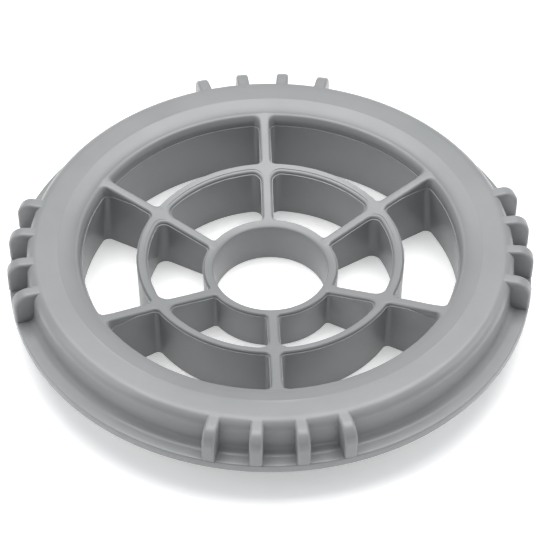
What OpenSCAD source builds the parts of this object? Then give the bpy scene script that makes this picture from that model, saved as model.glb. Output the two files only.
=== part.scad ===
// Dishwasher ring nut: a moulded collar nut with a drain grille across it.
// Millimetres. The nut stands on its grille at z = 0 and +Z is its axis.

/* [Overall] */
// Radius over the grip ribs
rib_r = 32.7; // [32.65:0.05:33.2]
// Height of the flat crown above the bottom of the grille
crown_z = 10.35; // [10.2:0.05:10.6]
// Width of the crown's flat top, outer edge
crown_flat_r = 28.81; // [28.7:0.01:28.9]
// Radius of the rounded shoulder
shoulder_r = 1.42; // [1.3:0.01:1.5]

/* [Flange] */
// Outer radius of the flange
flange_r = 32.6; // [32.5:0.05:32.65]
// Underside of the flange
flange_z0 = 4.76; // [4.6:0.02:4.9]
// Top of the flange
flange_z1 = 5.95; // [5.85:0.05:6.05]
// Fillet between flange and wall
flange_fillet = 1.0; // [0.8:0.05:1.2]
// Rounding of the flange rim
flange_edge = 0.2; // [0.1:0.05:0.3]

/* [Threaded channel] */
// Bore of the outer skirt, at the crests of the thread
skirt_bore_r = 28.6; // [28.4:0.05:28.7]
// Lead-in chamfer of the skirt bore
skirt_lead = 0.35; // [0.2:0.05:0.5]
// Roof of the channel under the crown
channel_z = 8.85; // [8.6:0.05:8.95]
// Outer radius of the deep inner wall
plug_r = 25.1; // [25.0:0.05:25.3]
// Fillets in the roof of the channel
channel_fillet = 0.4; // [0.3:0.05:0.6]

/* [Deep wall and lip] */
// Inner radius of the deep wall at the parting line and above
wall_r_top = 23.5; // [23.4:0.05:23.6]
// Inner radius of the deep wall at the bottom
wall_r_bottom = 23.93; // [23.8:0.01:24.0]
// Radius of the lip between wall and crown
lip_r = 1.5; // [1.3:0.05:1.6]
// Height at which the lip starts to round
lip_z = 8.34; // [8.2:0.02:8.4]
// Radius of the crease where the lip's slope meets the flat crown
crease_r = 26.35; // [26.2:0.05:26.5]

/* [Grille] */
// Height of the dished face at the hub
dish_z = 5.4; // [5.2:0.05:5.6]
// Rise of the dished face per millimetre, hub to middle ring
dish_slope = 0.264; // [0.255:0.001:0.27]
// Rise of the dished face per millimetre, middle ring to wall
dish_slope_out = 0.236; // [0.228:0.001:0.24]
// Bore of the hub
hub_bore_r = 7.1; // [6.9:0.05:7.3]
// Outer radius of the hub
hub_r = 8.4; // [8.3:0.05:8.8]
// Inner radius of the middle ring
ring_r0 = 15.4; // [15.2:0.05:15.5]
// Outer radius of the middle ring
ring_r1 = 16.6; // [16.5:0.05:16.9]
// Thickness of a spoke
spoke_w = 1.3; // [1.1:0.05:1.5]
// Number of spokes
spokes = 6; // [3:1:8]
// Corner radius at the hub
hub_fillet = 0.5; // [0.3:0.05:0.6]
// Corner radius on the inside of the middle ring
ring_fillet_in = 1.2; // [0.8:0.05:1.4]
// Corner radius on the outside of the middle ring
ring_fillet_out = 0.7; // [0.5:0.05:0.9]
// Corner radius at the deep wall
wall_fillet = 0.85; // [0.6:0.05:0.95]

/* [Grip ribs] */
// Thickness of a rib
rib_w = 1.59; // [1.4:0.01:1.8]
// Angle between neighbouring ribs of a group
rib_step = 9.81; // [9:0.01:11]
// Ribs in a group
ribs = 4; // [2:1:5]
// Groups of ribs
groups = 4; // [2:1:6]
// Top of the ribs
rib_z = 10.28; // [10.1:0.02:10.3]
// Radius of a rib's shoulder
rib_round = 2.0; // [1.8:0.1:2.2]
// Rounding along the edges of a rib
rib_edge = 0.35; // [0.2:0.05:0.5]

/* [Hidden] */
$fn = 144;
// height of the dished face at radius r
function dish(r) = r < ring_r1
  ? dish_z + dish_slope * (r - 7.4)
  : dish_z + dish_slope * (ring_r1 - 7.4) + dish_slope_out * (r - ring_r1);
// the lip's arc touches the wall, and a cone from the crease touches it
lip_c = [wall_r_top + lip_r, lip_z];
lip_v = [crease_r, crown_z] - lip_c;
slope_a = atan2(lip_v[1], lip_v[0]) + acos(lip_r / norm(lip_v)) - 90;
lip_t = lip_c + lip_r * [-sin(slope_a), cos(slope_a)];
// radius of the wall and lip at height z
function wall_at(z) = z < lip_z
  ? wall_r_bottom + (wall_r_top - wall_r_bottom) * z / lip_z
  : lip_c[0] - sqrt(max(0.01, lip_r * lip_r - pow(z - lip_z, 2)));
// centres of the shoulder and of the fillet above the flange
sh_c = [crown_flat_r, crown_z - shoulder_r];
ff_c = [31.38, flange_z1 + flange_fillet];
// the wall between them touches both arcs
d12 = norm(ff_c - sh_c);
tan_a = atan2(ff_c[1] - sh_c[1], ff_c[0] - sh_c[0])
        - asin((shoulder_r + flange_fillet) / d12);
sh_t = sh_c + shoulder_r * [-sin(tan_a), cos(tan_a)];
ff_t = ff_c - flange_fillet * [-sin(tan_a), cos(tan_a)];

function turn(p, a) = [p[0] * cos(a) - p[1] * sin(a),
                       p[0] * sin(a) + p[1] * cos(a)];

// slice of a disc from angle a0 to a1, at most 120 degrees
module slice(c, r, a0, a1) {
  intersection() {
    translate(c) circle(r = r);
    polygon([c, c + 2.5 * r * [cos(a0), sin(a0)],
             c + 2.5 * r * [cos((a0 + a1) / 2), sin((a0 + a1) / 2)],
             c + 2.5 * r * [cos(a1), sin(a1)]]);
  }
}

// half section through crown, skirt, flange and deep wall
module collar_section() {
  e = flange_edge;
  f = channel_fillet;
  difference() {
    union() {
      polygon([
        [wall_r_bottom, 0], [plug_r - 0.2, 0], [plug_r, 0.2],
        [plug_r, channel_z - f], [plug_r + f, channel_z],
        [skirt_bore_r - f, channel_z], [skirt_bore_r, channel_z - f],
        [skirt_bore_r, flange_z0 + skirt_lead],
        [skirt_bore_r + skirt_lead, flange_z0],
        [flange_r - e, flange_z0], [flange_r, flange_z0 + e],
        [flange_r, flange_z1 - e], [flange_r - e, flange_z1],
        [ff_c[0], flange_z1], ff_t, sh_t,
        [crown_flat_r, crown_z], [crease_r, crown_z],
        lip_t, [wall_r_top, lip_z]]);
      slice(sh_c, shoulder_r, tan_a + 90, 90);
      slice(lip_c, lip_r, 90 + slope_a, 180);
      slice([flange_r - e, flange_z0 + e], e, -90, 0);
      slice([flange_r - e, flange_z1 - e], e, 0, 90);
    }
    translate(ff_c) circle(r = flange_fillet);
    translate([plug_r + f, channel_z - f]) circle(r = f);
    translate([skirt_bore_r - f, channel_z - f]) circle(r = f);
  }
}

// plan of a corner fillet between a spoke along +X and a ring.
// side = -1 inside the ring (its bore), +1 outside it
module corner(rr, r, side) {
  h = spoke_w / 2;
  rc = rr + side * r;
  xc = sqrt(rc * rc - (h + r) * (h + r));
  c = [xc, h + r];
  t = c * rr / rc;
  difference() {
    polygon([[xc, h], [xc, h - 0.2], [xc - side * 1.5 * r, h - 0.2],
             t - side * 0.35 * [1, 0], t]);
    translate(c) circle(r = r + 0.01);
  }
}

// plan of the hub, the middle ring and the spokes
module grille_plan() {
  difference() {
    union() {
      circle(r = hub_r);
      difference() {
        circle(r = ring_r1);
        circle(r = ring_r0);
      }
      for (i = [0:spokes - 1]) rotate(30 + i * 360 / spokes) {
        translate([hub_bore_r + 0.5, -spoke_w / 2])
          square([24.7 - hub_bore_r - 0.5, spoke_w]);
        for (m = [0, 1]) mirror([0, m]) {
          corner(hub_r, hub_fillet, 1);
          corner(ring_r1, ring_fillet_out, 1);
          corner(ring_r0, ring_fillet_in, -1);
        }
      }
    }
    circle(r = hub_bore_r);
  }
}

// corner of a spoke and the deep wall: it leans inwards with the wall's
// draft and then outwards with the lip
module wall_corner() {
  h = spoke_w / 2;
  r = wall_fillet;
  n = 7;
  rc = wall_r_bottom - r;
  xc = sqrt(rc * rc - (h + r) * (h + r));
  c = [xc, h + r];
  a1 = atan2(h + r, xc);
  arc = [for (i = [0:n]) let (a = -90 + (a1 + 90) * i / n)
         c + r * [cos(a), sin(a)]];
  u0 = (arc[0] - arc[1]) / norm(arc[0] - arc[1]);
  u1 = (arc[n] - arc[n - 1]) / norm(arc[n] - arc[n - 1]);
  plan = concat([[xc - 0.1, h - 0.2], [wall_r_bottom + 0.85, h - 0.2],
                 arc[n] + [0.85, -0.3], arc[n] + 0.15 * u1],
                [for (i = [n - 1:-1:1]) arc[i]], [arc[0] + 0.15 * u0]);
  k = len(plan);
  zs = [-0.5, lip_z - 0.15, lip_z + 0.5, lip_z + 0.9, lip_z + 1.25, crown_z];
  pts = [for (z = zs) for (p = plan)
         [p[0] + min(0.45, wall_at(min(z, lip_z + 1.35)) - wall_r_bottom),
          p[1], z]];
  polyhedron(points = pts, faces = concat(
    [[for (i = [0:k - 1]) i]],
    [[for (i = [k - 1:-1:0]) (len(zs) - 1) * k + i]],
    [for (l = [0:len(zs) - 2]) for (i = [0:k - 1])
      [l * k + (i + 1) % k, l * k + i,
       (l + 1) * k + i, (l + 1) * k + (i + 1) % k]]));
}

module grille() {
  intersection() {
    union() {
      translate([0, 0, -1]) linear_extrude(height = crown_z + 2) grille_plan();
      for (i = [0:spokes - 1]) rotate([0, 0, 30 + i * 360 / spokes])
        for (m = [0, 1]) mirror([0, m, 0]) wall_corner();
    }
    rotate_extrude() polygon([[0, 0], [24.75, 0], [24.75, dish(24.75)],
                              [ring_r1, dish(ring_r1)], [0, dish(0)]]);
  }
}

// plan across a rib: u runs outwards, the outer corners are rounded
module rib_plan(u0, u1) {
  e = rib_edge;
  h = rib_w / 2;
  union() {
    polygon([[u0, -h], [u1 - e, -h], [u1 - e, -h + e], [u1, -h + e],
             [u1, h - e], [u1 - e, h - e], [u1 - e, h], [u0, h]]);
    slice([u1 - e, h - e], e, 0, 90);
    slice([u1 - e, -h + e], e, -90, 0);
  }
}

// one grip rib, along +X: foot, rounded shoulder and top
module rib() {
  rc = rib_r - rib_round;
  zc = rib_z - rib_round;
  translate([0, 0, flange_z1 - 0.05])
    linear_extrude(height = zc - flange_z1 + 0.05) rib_plan(29.7, rib_r);
  translate([rc, 0, zc]) rotate([90, 0, 0])
    rotate_extrude(angle = 90) rib_plan(0, rib_round);
  translate([28.95, 0, zc]) rotate([0, 0, 90]) rotate([90, 0, 0])
    linear_extrude(height = rc - 28.95)
      rotate(90) rib_plan(0, rib_round);
}

module ring_nut() {
  color([0.62, 0.63, 0.64]) union() {
    rotate_extrude() collar_section();
    grille();
    for (g = [0:groups - 1]) for (i = [0:ribs - 1])
      rotate([0, 0, g * 360 / groups + (i - (ribs - 1) / 2) * rib_step]) rib();
  }
}

ring_nut();
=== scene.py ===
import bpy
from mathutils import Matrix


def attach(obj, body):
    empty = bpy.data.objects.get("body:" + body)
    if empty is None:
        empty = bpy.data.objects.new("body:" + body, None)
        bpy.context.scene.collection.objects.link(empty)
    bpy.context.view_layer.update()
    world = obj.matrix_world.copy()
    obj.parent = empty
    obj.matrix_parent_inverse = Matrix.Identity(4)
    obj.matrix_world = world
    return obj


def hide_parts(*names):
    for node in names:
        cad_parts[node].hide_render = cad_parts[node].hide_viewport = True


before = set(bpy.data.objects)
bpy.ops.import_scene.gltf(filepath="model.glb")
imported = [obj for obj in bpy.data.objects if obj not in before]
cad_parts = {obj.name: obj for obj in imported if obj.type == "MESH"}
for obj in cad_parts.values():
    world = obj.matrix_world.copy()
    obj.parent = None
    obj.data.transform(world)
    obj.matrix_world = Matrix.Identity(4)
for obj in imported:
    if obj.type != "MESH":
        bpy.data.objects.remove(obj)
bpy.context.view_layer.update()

import math

import bpy
import numpy as np
from mathutils import Matrix, Vector

rng = np.random.default_rng(4711)
MM = 0.001

# ---------------------------------------------------------------- camera
# Fitted to the photographed outline; part frame, metres.
cam_pos = Vector((-6.4944, -196.4457, 206.9991)) * MM
cam_fwd = Vector((0.02287265, 0.69682756, -0.71687390))
cam_right = Vector((0.99941185, -0.03426290, -0.00141746))
cam_up = Vector((0.02554990, 0.71641985, 0.69720141))
cam_data = bpy.data.cameras.new("camera")
cam = bpy.data.objects.new("camera", cam_data)
bpy.context.scene.collection.objects.link(cam)
rot = Matrix((cam_right, cam_up, -cam_fwd)).transposed()
cam.matrix_world = Matrix.Translation(cam_pos) @ rot.to_4x4()
cam_data.sensor_width = 36.0
cam_data.sensor_fit = "HORIZONTAL"
cam_data.lens = 149.549
cam_data.clip_start = 0.01
cam_data.clip_end = 20.0
bpy.context.scene.camera = cam

# ---------------------------------------------------------------- sizes, mm
HUB_BORE_TOP, HUB_BORE_BOT = 7.2, 7.04
HUB_R, RING_IN, RING_OUT = 8.4, 15.4, 16.6
WALL_TOP, WALL_BOT = 23.5, 23.93
LIP_R, LIP_Z = 1.5, 8.34
CREASE_R, CREASE_Z = 26.35, 10.315
CROWN_Z, CROWN_R = 10.35, 28.81
SPOKE_H = 0.65
PART_Z = 8.08
LEDGE = 0.11
TOP_R = 0.34


def dish(r):
    """Height of the dished face of hub, spokes and middle ring."""
    r = np.asarray(r, float)
    return np.where(r < RING_OUT, 5.4 + 0.264 * (r - 7.4),
                    5.4 + 0.264 * (RING_OUT - 7.4) + 0.236 * (r - RING_OUT))


def parting(r):
    """Height of the mould's parting surface inside the grille."""
    return np.minimum(dish(r) - 0.42, PART_Z)


# lip: an arc from the wall, then a slope that eases off up to the crease
lip_pts = []
for a in np.radians(np.linspace(90, 33.6, 14)):
    lip_pts.append((WALL_TOP + LIP_R - LIP_R * math.sin(a),
                    LIP_Z + LIP_R * math.cos(a)))
slope_r = [lip_pts[-1][0], 24.5, 25.0, 25.5, 26.0, CREASE_R]
slope_a = [33.6, 25.5, 18.5, 14.6, 12.4, 11.4]
r0, z0 = lip_pts[-1]
fine = np.linspace(r0, CREASE_R, 121)
ang = np.radians(np.interp(fine, slope_r, slope_a))
zz = z0 + np.concatenate([[0], np.cumsum(np.tan((ang[1:] + ang[:-1]) / 2)
                                         * np.diff(fine))])
CREASE_Z = float(zz[-1])
for k in range(8, 121, 8):
    lip_pts.append((float(fine[k]), float(zz[k])))
lip_pts = np.array(lip_pts)


def lip_radius(z):
    return float(np.interp(z, lip_pts[:, 1], lip_pts[:, 0]))


# ---------------------------------------------------------------- mesh tools
def mesh_object(name, verts, faces):
    me = bpy.data.meshes.new(name)
    me.from_pydata([tuple(v) for v in verts], [], [tuple(f) for f in faces])
    me.update()
    ob = bpy.data.objects.new(name, me)
    bpy.context.scene.collection.objects.link(ob)
    v = np.array(verts, float)
    vol = 0.0
    for f in faces:
        a = v[f[0]]
        for i in range(1, len(f) - 1):
            vol += np.dot(a, np.cross(v[f[i]], v[f[i + 1]]))
    if vol < 0:
        me.flip_normals()
    return ob


def loft(rings, close=True, caps=True):
    """Quads between rings of equal length; end rings are capped."""
    n = len(rings[0])
    verts = [p for r in rings for p in r]
    faces = []
    for j in range(len(rings) - 1):
        for i in range(n):
            k = (i + 1) % n
            faces.append((j * n + i, j * n + k, (j + 1) * n + k, (j + 1) * n + i))
    if caps:
        faces.append(tuple(range(n - 1, -1, -1)))
        faces.append(tuple((len(rings) - 1) * n + i for i in range(n)))
    else:
        j = len(rings) - 1
        for i in range(n):
            k = (i + 1) % n
            faces.append((j * n + i, j * n + k, k, i))
    return verts, faces


def boolean(target, tool, op):
    mod = target.modifiers.new(op, "BOOLEAN")
    mod.operation = op
    mod.object = tool
    mod.solver = "MANIFOLD"
    dg = bpy.context.evaluated_depsgraph_get()
    new = bpy.data.meshes.new_from_object(target.evaluated_get(dg))
    target.modifiers.remove(mod)
    old = target.data
    target.data = new
    bpy.data.meshes.remove(old)
    tool_mesh = tool.data
    bpy.data.objects.remove(tool)
    bpy.data.meshes.remove(tool_mesh)


def joined(name, parts):
    verts, faces = [], []
    for v, f in parts:
        k = len(verts)
        verts += list(v)
        faces += [tuple(i + k for i in q) for q in f]
    return verts, faces


def wave(n_terms, lo, hi, seed):
    """Smooth periodic noise in 0..1 over an angle, from a few sines."""
    g = np.random.default_rng(seed)
    fr = g.integers(lo, hi, n_terms)
    ph = g.uniform(0, 2 * math.pi, n_terms)
    am = g.uniform(0.4, 1.0, n_terms)
    am /= am.sum()

    def f(t):
        t = np.asarray(t, float)
        return 0.5 + 0.5 * sum(a * np.sin(k * t + p)
                               for a, k, p in zip(am, fr, ph))
    return f


# ---------------------------------------------------------------- collar
N = 384
theta = np.linspace(0, 2 * math.pi, N, endpoint=False)
flash_wall = wave(9, 5, 70, 11)
flash_z = wave(6, 3, 30, 12)
crease_on = wave(5, 1, 9, 13)
crease_fine = wave(7, 20, 90, 14)


def collar_profile(t):
    """Closed section at angle t: crown, skirt, flange and deep wall."""
    fl = 0.055 * max(0.0, float(flash_wall(t)) - 0.25)
    fz = 0.03 * (float(flash_z(t)) - 0.5)
    p = []
    # deep wall, inside, upwards
    p += [(WALL_BOT + 0.09, 0.012), (WALL_BOT + 0.03, 0.05), (WALL_BOT, 0.13)]
    low = WALL_TOP - LEDGE
    for s in (0.35, 0.7):
        p.append((WALL_BOT + (low - WALL_BOT) * s, 0.13 + (PART_Z - 0.23) * s))
    p += [(low, PART_Z - 0.1), (low - 0.5 * fl, PART_Z - 0.03 + fz),
          (low - fl, PART_Z + fz), (WALL_TOP - 0.02, PART_Z + 0.016 + fz),
          (WALL_TOP, PART_Z + 0.06)]
    # lip
    p += [tuple(q) for q in lip_pts[:-1]]
    # crease with a faint, broken witness line
    wit = 0.016 * max(0.0, min(1.0, 2.6 * (float(crease_on(t)) - 0.42)))
    wit *= 0.6 + 0.8 * float(crease_fine(t))
    p += [(CREASE_R - 0.07, CREASE_Z - 0.014), (CREASE_R - 0.015, CREASE_Z + wit),
          (CREASE_R + 0.02, CREASE_Z + wit * 0.9), (CREASE_R + 0.07, CREASE_Z + 0.003)]
    p += [(26.8, CREASE_Z + 0.018), (27.4, CROWN_Z - 0.004), (28.0, CROWN_Z),
          (28.45, CROWN_Z - 0.001)]
    # shoulder
    c, rr = (CROWN_R, CROWN_Z - 1.42), 1.42
    for a in np.radians(np.linspace(88, -4.2, 15)):
        p.append((c[0] + rr * math.cos(a), c[1] + rr * math.sin(a)))
    # wall and the fillet above the flange
    c2, r2 = (31.38, 6.95), 1.0
    p.append((30.29, 7.9))
    for a in np.radians(np.linspace(180 - 4.2, 268, 10)):
        p.append((c2[0] + r2 * math.cos(a), c2[1] + r2 * math.sin(a)))
    # flange
    e = 0.2
    p += [(31.9, 5.95), (32.25, 5.95)]
    for a in np.radians(np.linspace(88, 0, 6)):
        p.append((32.6 - e + e * math.cos(a), 5.95 - e + e * math.sin(a)))
    p.append((32.6, 5.4))
    for a in np.radians(np.linspace(0, -90, 6)):
        p.append((32.6 - e + e * math.cos(a), 4.76 + e + e * math.sin(a)))
    p += [(31.0, 4.76), (29.42, 4.76), (29.3, 4.79), (29.08, 5.04), (29.05, 5.15)]
    # channel
    p += [(29.05, 6.8), (29.05, 8.45)]
    for a in np.radians(np.linspace(15, 90, 5)):
        p.append((28.65 + 0.4 * math.cos(a), 8.45 + 0.4 * math.sin(a)))
    for a in np.radians(np.linspace(90, 180, 6)):
        p.append((25.5 + 0.4 * math.cos(a), 8.45 + 0.4 * math.sin(a)))
    p += [(25.1, 6.0), (25.1, 3.0), (25.1, 0.22), (25.05, 0.09), (24.95, 0.012)]
    return p


prof = [collar_profile(t) for t in theta]
m = len(prof[0])
verts = []
for t, p in zip(theta, prof):
    c, s = math.cos(t), math.sin(t)
    verts += [(r * c, r * s, z) for r, z in p]
faces = []
for i in range(N):
    k = (i + 1) % N
    for j in range(m):
        l = (j + 1) % m
        faces.append((i * m + j, k * m + j, k * m + l, i * m + l))
nut = mesh_object("ring_nut_moulding", verts, faces)

# ---------------------------------------------------------------- grille
NG = 360
gp = [(HUB_BORE_BOT + 0.1, 0.0), (HUB_BORE_BOT + 0.03, 0.03), (HUB_BORE_BOT, 0.1)]
zt = float(dish(HUB_BORE_TOP))
gp += [(HUB_BORE_BOT + (HUB_BORE_TOP - HUB_BORE_BOT) * 0.5, zt * 0.5),
       (HUB_BORE_TOP, zt - 0.2)]
for a in np.radians([20, 45, 70]):
    gp.append((HUB_BORE_TOP + 0.2 - 0.2 * math.cos(a), zt - 0.2 + 0.2 * math.sin(a)))
gp += [(7.5, float(dish(7.5))), (8.6, float(dish(8.6))), (15.2, float(dish(15.2))),
       (RING_OUT - 0.001, float(dish(RING_OUT - 0.001))), (20.0, float(dish(20.0))),
       (24.62, float(dish(24.62))), (24.75, 9.3), (24.6, 1.0), (23.98, 0.0),
       (16.0, 0.0)]
verts, faces = [], []
mg = len(gp)
for i in range(NG):
    t = 2 * math.pi * (i + 0.37) / NG
    c, s = math.cos(t), math.sin(t)
    verts += [(r * c, r * s, z) for r, z in gp]
for i in range(NG):
    k = (i + 1) % NG
    for j in range(mg):
        l = (j + 1) % mg
        faces.append((i * mg + j, k * mg + j, k * mg + l, i * mg + l))
grille = mesh_object("grille", verts, faces)


def outline(h, ra, rb, fa, fb, counts):
    """Cell outline about its own centre line, the spokes at -30 and +30
    degrees: points, normals into the cell, and a segment code."""
    na, nc, ns, nb = counts
    turn = math.radians(-30)
    ct, st = math.cos(turn), math.sin(turn)
    c1 = np.array([math.sqrt((ra + fa) ** 2 - (h + fa) ** 2), h + fa])
    c2 = np.array([math.sqrt((rb - fb) ** 2 - (h + fb) ** 2), h + fb])
    P, Q, S = [], [], []

    def put(p, n, s):
        P.append((p[0] * ct - p[1] * st, p[0] * st + p[1] * ct))
        Q.append((n[0] * ct - n[1] * st, n[0] * st + n[1] * ct))
        S.append(s)

    a1 = math.atan2(c1[1], c1[0])
    for a in np.linspace(math.radians(30), a1, na + 1)[:-1]:
        put((ra * math.cos(a), ra * math.sin(a)), (math.cos(a), math.sin(a)), 0.0)
    g0 = a1 - math.pi
    for i, a in enumerate(np.linspace(g0, -math.pi / 2, nc + 1)[:-1]):
        u = (math.cos(a), math.sin(a))
        put(c1 + fa * np.array(u), (-u[0], -u[1]), i / nc)
    for i, x in enumerate(np.linspace(c1[0], c2[0], ns + 1)[:-1]):
        put((x, h), (0.0, 1.0), 1.0)
    a2 = math.atan2(c2[1], c2[0])
    for i, a in enumerate(np.linspace(-math.pi / 2, a2, nc + 1)[:-1]):
        u = (math.cos(a), math.sin(a))
        put(c2 + fb * np.array(u), (-u[0], -u[1]), 1 + i / nc)
    for a in np.linspace(a2, math.radians(30), nb + 1):
        put((rb * math.cos(a), rb * math.sin(a)), (-math.cos(a), -math.sin(a)), 2.0)
    P, Q, S = np.array(P), np.array(Q), np.array(S)
    flip = np.array([1, -1])
    P2, Q2, S2 = P[1:-1][::-1] * flip, Q[1:-1][::-1] * flip, S[1:-1][::-1]
    return np.vstack([P, P2]), np.vstack([Q, Q2]), np.concatenate([S, S2])


def cell(angle, inner, seed):
    """Cutter for one cell of the grille, from below the bottom to above the
    dished face: draft, parting ledge with flash, rounded top edges."""
    counts = (16, 8, 14, 22) if inner else (22, 9, 22, 12)
    flash = wave(8, 4, 44, seed)
    flash2 = wave(5, 2, 12, seed + 500)
    e = 0.03

    def base(kind, zw=None):
        if inner:
            if kind == "bottom":
                return 0.61, 8.36, 15.6, 0.5, 1.2
            if kind == "low":
                return SPOKE_H + LEDGE, HUB_R + LEDGE, RING_IN - LEDGE, 0.42, 1.1
            return SPOKE_H, HUB_R, RING_IN, 0.5, 1.2
        if kind == "bottom":
            return 0.61, 16.57, WALL_BOT + e, 0.7, 0.88
        if kind == "low":
            return SPOKE_H + LEDGE, RING_OUT + LEDGE, WALL_TOP - LEDGE + e, 0.62, 0.8
        return SPOKE_H, RING_OUT, lip_radius(zw) + e, 0.7, 0.86

    rings = []
    ca, sa = math.cos(angle), math.sin(angle)

    def level(params, zf, df):
        P, Q, S = outline(*params, counts)
        r = np.hypot(P[:, 0], P[:, 1])
        t = np.linspace(0, 2 * math.pi, len(P), endpoint=False)
        d = df(r, t)
        X = P + Q * np.asarray(d)[:, None]
        z = zf(r, t) * np.ones(len(P))
        rings.append([(x * ca - y * sa, x * sa + y * ca, float(zq))
                      for (x, y), zq in zip(X, z)])

    zero = lambda r, t: np.zeros(len(r))
    flat = lambda v: (lambda r, t: np.full(len(r), v))
    # bottom edge, slightly broken
    for z, d in ((-0.12, -0.4), (0.004, -0.085), (0.04, -0.03), (0.12, 0.0)):
        level(base("bottom"), flat(z), flat(d))
    b, l = base("bottom"), base("low")
    for s in (0.5,):
        mix = tuple(x + (y - x) * s for x, y in zip(b, l))
        level(mix, lambda r, t, s=s: 0.12 + (parting(r) - 0.22) * s, zero)
    fl = lambda r, t: 0.06 * np.maximum(0, flash(t) - 0.22)
    fz = lambda t: 0.03 * (flash2(t) - 0.5)
    level(l, lambda r, t: parting(r) - 0.10, zero)
    level(l, lambda r, t: parting(r) - 0.03 + fz(t), lambda r, t: 0.5 * fl(r, t))
    level(l, lambda r, t: parting(r) + fz(t), fl)
    zw = PART_Z + 0.02
    level(base("up", zw), lambda r, t: parting(r) + 0.014 + fz(t), flat(0.02))
    level(base("up", zw), lambda r, t: parting(r) + 0.055, zero)

    # the top edges are rounded; the rounding dies out where a spoke
    # runs into the lip
    def rnd(r):
        return TOP_R * np.interp(r, [22.3, 24.1], [1.0, 0.22])

    if not inner:
        for s in (0.35, 0.7):
            zw = PART_Z + 0.05 + s * (9.32 - PART_Z - 0.05)
            level(base("up", zw), lambda r, t, s=s: parting(r) + 0.055
                  + s * (dish(r) - rnd(r) - parting(r) - 0.055), zero)
    zw = 9.32
    for i, a in enumerate(np.radians([0, 16, 32, 48, 63, 76])):
        zw_i = 9.32 + 0.28 * math.sin(a)
        level(base("up", zw_i),
              lambda r, t, a=a: dish(r) - rnd(r) * (1 - math.sin(a)),
              lambda r, t, a=a: -rnd(r) * (1 - math.cos(a)))
    a = math.radians(76)
    level(base("up", 9.62), lambda r, t: dish(r) + 0.03,
          lambda r, t: -rnd(r) * (1 - math.cos(a))
          - (0.03 + rnd(r) * (1 - math.sin(a))) * math.tan(a))
    level(base("up", 9.62), lambda r, t: dish(r) + 1.6,
          lambda r, t: -rnd(r) * (1 - math.cos(a))
          - (0.03 + rnd(r) * (1 - math.sin(a))) * math.tan(a))
    return loft(rings)


cutters = []
for k in range(6):
    cutters.append(cell(math.radians(60 * k), True, 100 + k))
    cutters.append(cell(math.radians(60 * k), False, 200 + k))
v, f = joined("cells", cutters)
tool = mesh_object("cells", v, f)
boolean(grille, tool, "DIFFERENCE")
boolean(nut, grille, "UNION")


# ---------------------------------------------------------------- grip ribs
def rib_outline(i, jitter):
    """Side of a rib in r and z, its free edges drawn in by i."""
    p = [(29.32, 5.86), (32.3, 5.86), (32.5 - 0.5 * i, 5.9), (32.62 - 0.8 * i, 5.955),
         (32.685 - i, 6.03), (32.7 - i, 6.16), (32.7 - i, 7.2)]
    for a in np.radians(np.linspace(0, 90, 13)):
        p.append((30.7 + (2.0 - i) * math.cos(a) + jitter * 0,
                  8.28 + (2.0 - i) * math.sin(a)))
    p += [(29.6, 10.28 - i), (28.9, 10.28 - i), (28.9, 9.3), (29.32, 9.1)]
    return p


parts = []
E, HW = 0.35, 0.795
for g in range(4):
    for i in range(4):
        a0 = math.radians(90 * g + (i - 1.5) * 9.81)
        ca, sa = math.cos(a0), math.sin(a0)
        rings = []
        phis = np.radians([0, 18, 36, 54, 72, 90])
        ys = ([-(HW - E + E * math.cos(q)) for q in phis]
              + [HW - E + E * math.cos(q) for q in phis[::-1]])
        ins = ([E * (1 - math.sin(q)) for q in phis]
               + [E * (1 - math.sin(q)) for q in phis[::-1]])
        for y, q in zip(ys, ins):
            rings.append([(r * ca - y * sa, r * sa + y * ca, z)
                          for r, z in rib_outline(q, 0)])
        parts.append(loft(rings))
v, f = joined("ribs", parts)
tool = mesh_object("ribs", v, f)
boolean(nut, tool, "UNION")

# ---------------------------------------------------------------- thread
rings = []
PITCH, TURNS = 2.3, 1.22
steps = int(TURNS * 150)
for k in range(steps + 1):
    t = k / steps
    ang_t = 2 * math.pi * TURNS * t + 0.6
    fade = min(1.0, t * TURNS * 24, (1 - t) * TURNS * 24)
    fade = fade * fade * (3 - 2 * fade)
    zc = 5.45 + PITCH * TURNS * t
    crest = 29.12 - 0.5 * fade
    c, s = math.cos(ang_t), math.sin(ang_t)
    sec = [(29.3, -0.62), (29.06, -0.52), (crest + 0.05, -0.2), (crest, -0.12),
           (crest, 0.12), (crest + 0.05, 0.2), (29.06, 0.52), (29.3, 0.62)]
    rings.append([(r * c, r * s, zc + z) for r, z in sec])
v, f = loft(rings)
tool = mesh_object("thread", v, f)
boolean(nut, tool, "UNION")

# ---------------------------------------------------------------- finish mesh
import bmesh

me = nut.data
bm = bmesh.new()
bm.from_mesh(me)
bmesh.ops.remove_doubles(bm, verts=bm.verts, dist=0.0015)
bmesh.ops.dissolve_degenerate(bm, edges=bm.edges, dist=0.001)
bmesh.ops.triangulate(bm, faces=[q for q in bm.faces if len(q.verts) > 4])
for v in bm.verts:
    v.co *= MM
bm.normal_update()
print("verts", len(bm.verts), "faces", len(bm.faces),
      "open edges", sum(1 for q in bm.edges if len(q.link_faces) != 2))
bm.to_mesh(me)
bm.free()
for poly in me.polygons:
    poly.use_smooth = True
me.set_sharp_from_angle(angle=math.radians(33))
wn = nut.modifiers.new("normals", "WEIGHTED_NORMAL")
wn.mode = "FACE_AREA"
wn.keep_sharp = True
wn.weight = 50

# ---------------------------------------------------------------- material
mat = bpy.data.materials.new("grey_plastic")
mat.use_nodes = True
nt = mat.node_tree
nt.nodes.clear()


def node(kind, **kw):
    n = nt.nodes.new(kind)
    for k, v in kw.items():
        if k in n.bl_rna.properties:
            setattr(n, k, v)
        else:
            n.inputs[k].default_value = v
    return n


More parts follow.
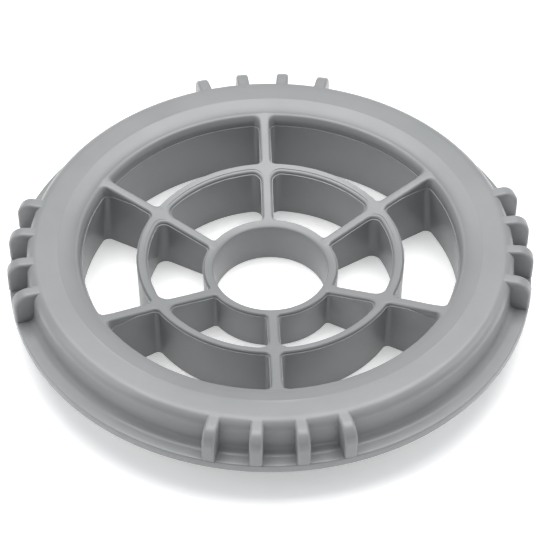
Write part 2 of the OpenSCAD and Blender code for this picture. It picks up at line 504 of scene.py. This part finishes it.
out = node("ShaderNodeOutputMaterial")
bsdf = node("ShaderNodeBsdfPrincipled")
nt.links.new(bsdf.outputs[0], out.inputs[0])
bsdf.inputs["IOR"].default_value = 1.49
bsdf.inputs["Specular IOR Level"].default_value = 0.5
tc = node("ShaderNodeTexCoord")


def noise(scale, detail=3.0, rough=0.55):
    n = node("ShaderNodeTexNoise")
    n.inputs["Scale"].default_value = scale
    n.inputs["Detail"].default_value = detail
    n.inputs["Roughness"].default_value = rough
    nt.links.new(tc.outputs["Object"], n.inputs["Vector"])
    return n


def ramp(src, stops):
    r = node("ShaderNodeValToRGB")
    while len(r.color_ramp.elements) < len(stops):
        r.color_ramp.elements.new(0.5)
    for el, (p, c) in zip(r.color_ramp.elements, stops):
        el.position = p
        el.color = c
    nt.links.new(src, r.inputs[0])
    return r


# cloudy variation of the grey
n1 = noise(70, 4)
col = ramp(n1.outputs["Fac"], [(0.3, (0.205, 0.212, 0.215, 1)),
                               (0.5, (0.222, 0.227, 0.230, 1)),
                               (0.72, (0.237, 0.240, 0.246, 1))])
# sparse dark and pale specks
vor = node("ShaderNodeTexVoronoi")
vor.inputs["Scale"].default_value = 260
nt.links.new(tc.outputs["Object"], vor.inputs["Vector"])
spk = ramp(vor.outputs["Distance"], [(0.0, (1, 1, 1, 1)), (0.055, (1, 1, 1, 1)),
                                     (0.09, (0, 0, 0, 1))])
n2 = noise(110, 1)
gate = ramp(n2.outputs["Fac"], [(0.66, (0, 0, 0, 1)), (0.70, (1, 1, 1, 1))])
mul = node("ShaderNodeMath", operation="MULTIPLY")
nt.links.new(spk.outputs[0], mul.inputs[0])
nt.links.new(gate.outputs[0], mul.inputs[1])
mix = node("ShaderNodeMixRGB", blend_type="MIX")
mix.inputs[2].default_value = (0.33, 0.335, 0.34, 1)
nt.links.new(mul.outputs[0], mix.inputs[0])
nt.links.new(col.outputs[0], mix.inputs[1])
nt.links.new(mix.outputs[0], bsdf.inputs["Base Color"])
# roughness varies with handling
n3 = noise(160, 5, 0.6)
rr = node("ShaderNodeMapRange")
rr.inputs["From Min"].default_value = 0.3
rr.inputs["From Max"].default_value = 0.7
rr.inputs["To Min"].default_value = 0.31
rr.inputs["To Max"].default_value = 0.42
nt.links.new(n3.outputs["Fac"], rr.inputs["Value"])
nt.links.new(rr.outputs[0], bsdf.inputs["Roughness"])
# fine moulded grain and a slight waviness
n4 = noise(2600, 2)
n5 = noise(240, 3)
b1 = node("ShaderNodeBump")
b1.inputs["Strength"].default_value = 0.10
b1.inputs["Distance"].default_value = 0.00003
nt.links.new(n4.outputs["Fac"], b1.inputs["Height"])
b2 = node("ShaderNodeBump")
b2.inputs["Strength"].default_value = 0.16
b2.inputs["Distance"].default_value = 0.0002
nt.links.new(n5.outputs["Fac"], b2.inputs["Height"])
nt.links.new(b1.outputs[0], b2.inputs["Normal"])
nt.links.new(b2.outputs[0], bsdf.inputs["Normal"])

nut.data.materials.clear()
nut.data.materials.append(mat)
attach(nut, "root")
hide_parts("ring_nut")

# ---------------------------------------------------------------- floor, light
s = 3.0
v = [(-s, -s, -0.00002), (s, -s, -0.00002), (s, s, -0.00002), (-s, s, -0.00002)]
fme = bpy.data.meshes.new("floor")
fme.from_pydata(v, [], [(0, 1, 2, 3)])
floor = bpy.data.objects.new("floor", fme)
bpy.context.scene.collection.objects.link(floor)
fmat = bpy.data.materials.new("floor")
fmat.use_nodes = True
fb = fmat.node_tree.nodes["Principled BSDF"]
fb.inputs["Base Color"].default_value = (0.9, 0.9, 0.9, 1)
fb.inputs["Roughness"].default_value = 0.8
fb.inputs["Specular IOR Level"].default_value = 0.1
fb.inputs["Emission Color"].default_value = (1, 1, 1, 1)
fb.inputs["Emission Strength"].default_value = 0.35
fme.materials.append(fmat)

world = bpy.data.worlds.new("studio")
bpy.context.scene.world = world
world.use_nodes = True
bg = world.node_tree.nodes["Background"]
bg.inputs[0].default_value = (0.93, 0.96, 1.0, 1)
bg.inputs[1].default_value = 0.32


def area(name, pos, target, size, power, colour=(1, 1, 1)):
    ld = bpy.data.lights.new(name, "AREA")
    ld.shape = "RECTANGLE"
    ld.size, ld.size_y = size
    ld.energy = power
    ld.color = colour
    ob = bpy.data.objects.new(name, ld)
    bpy.context.scene.collection.objects.link(ob)
    ob.location = pos
    d = Vector(target) - Vector(pos)
    ob.rotation_euler = d.to_track_quat("-Z", "Y").to_euler()
    return ob


area("top_softbox", (0.0, 0.22, 0.75), (0, 0, 0), (0.8, 0.6), 8.5)
area("left_softbox", (-0.8, -0.05, 0.45), (0, 0, 0), (0.5, 0.5), 2.2)
area("right_softbox", (0.8, 0.05, 0.45), (0, 0, 0), (0.5, 0.5), 2.0)

bpy.context.scene.view_settings.view_transform = "Standard"
bpy.context.scene.view_settings.look = "None"
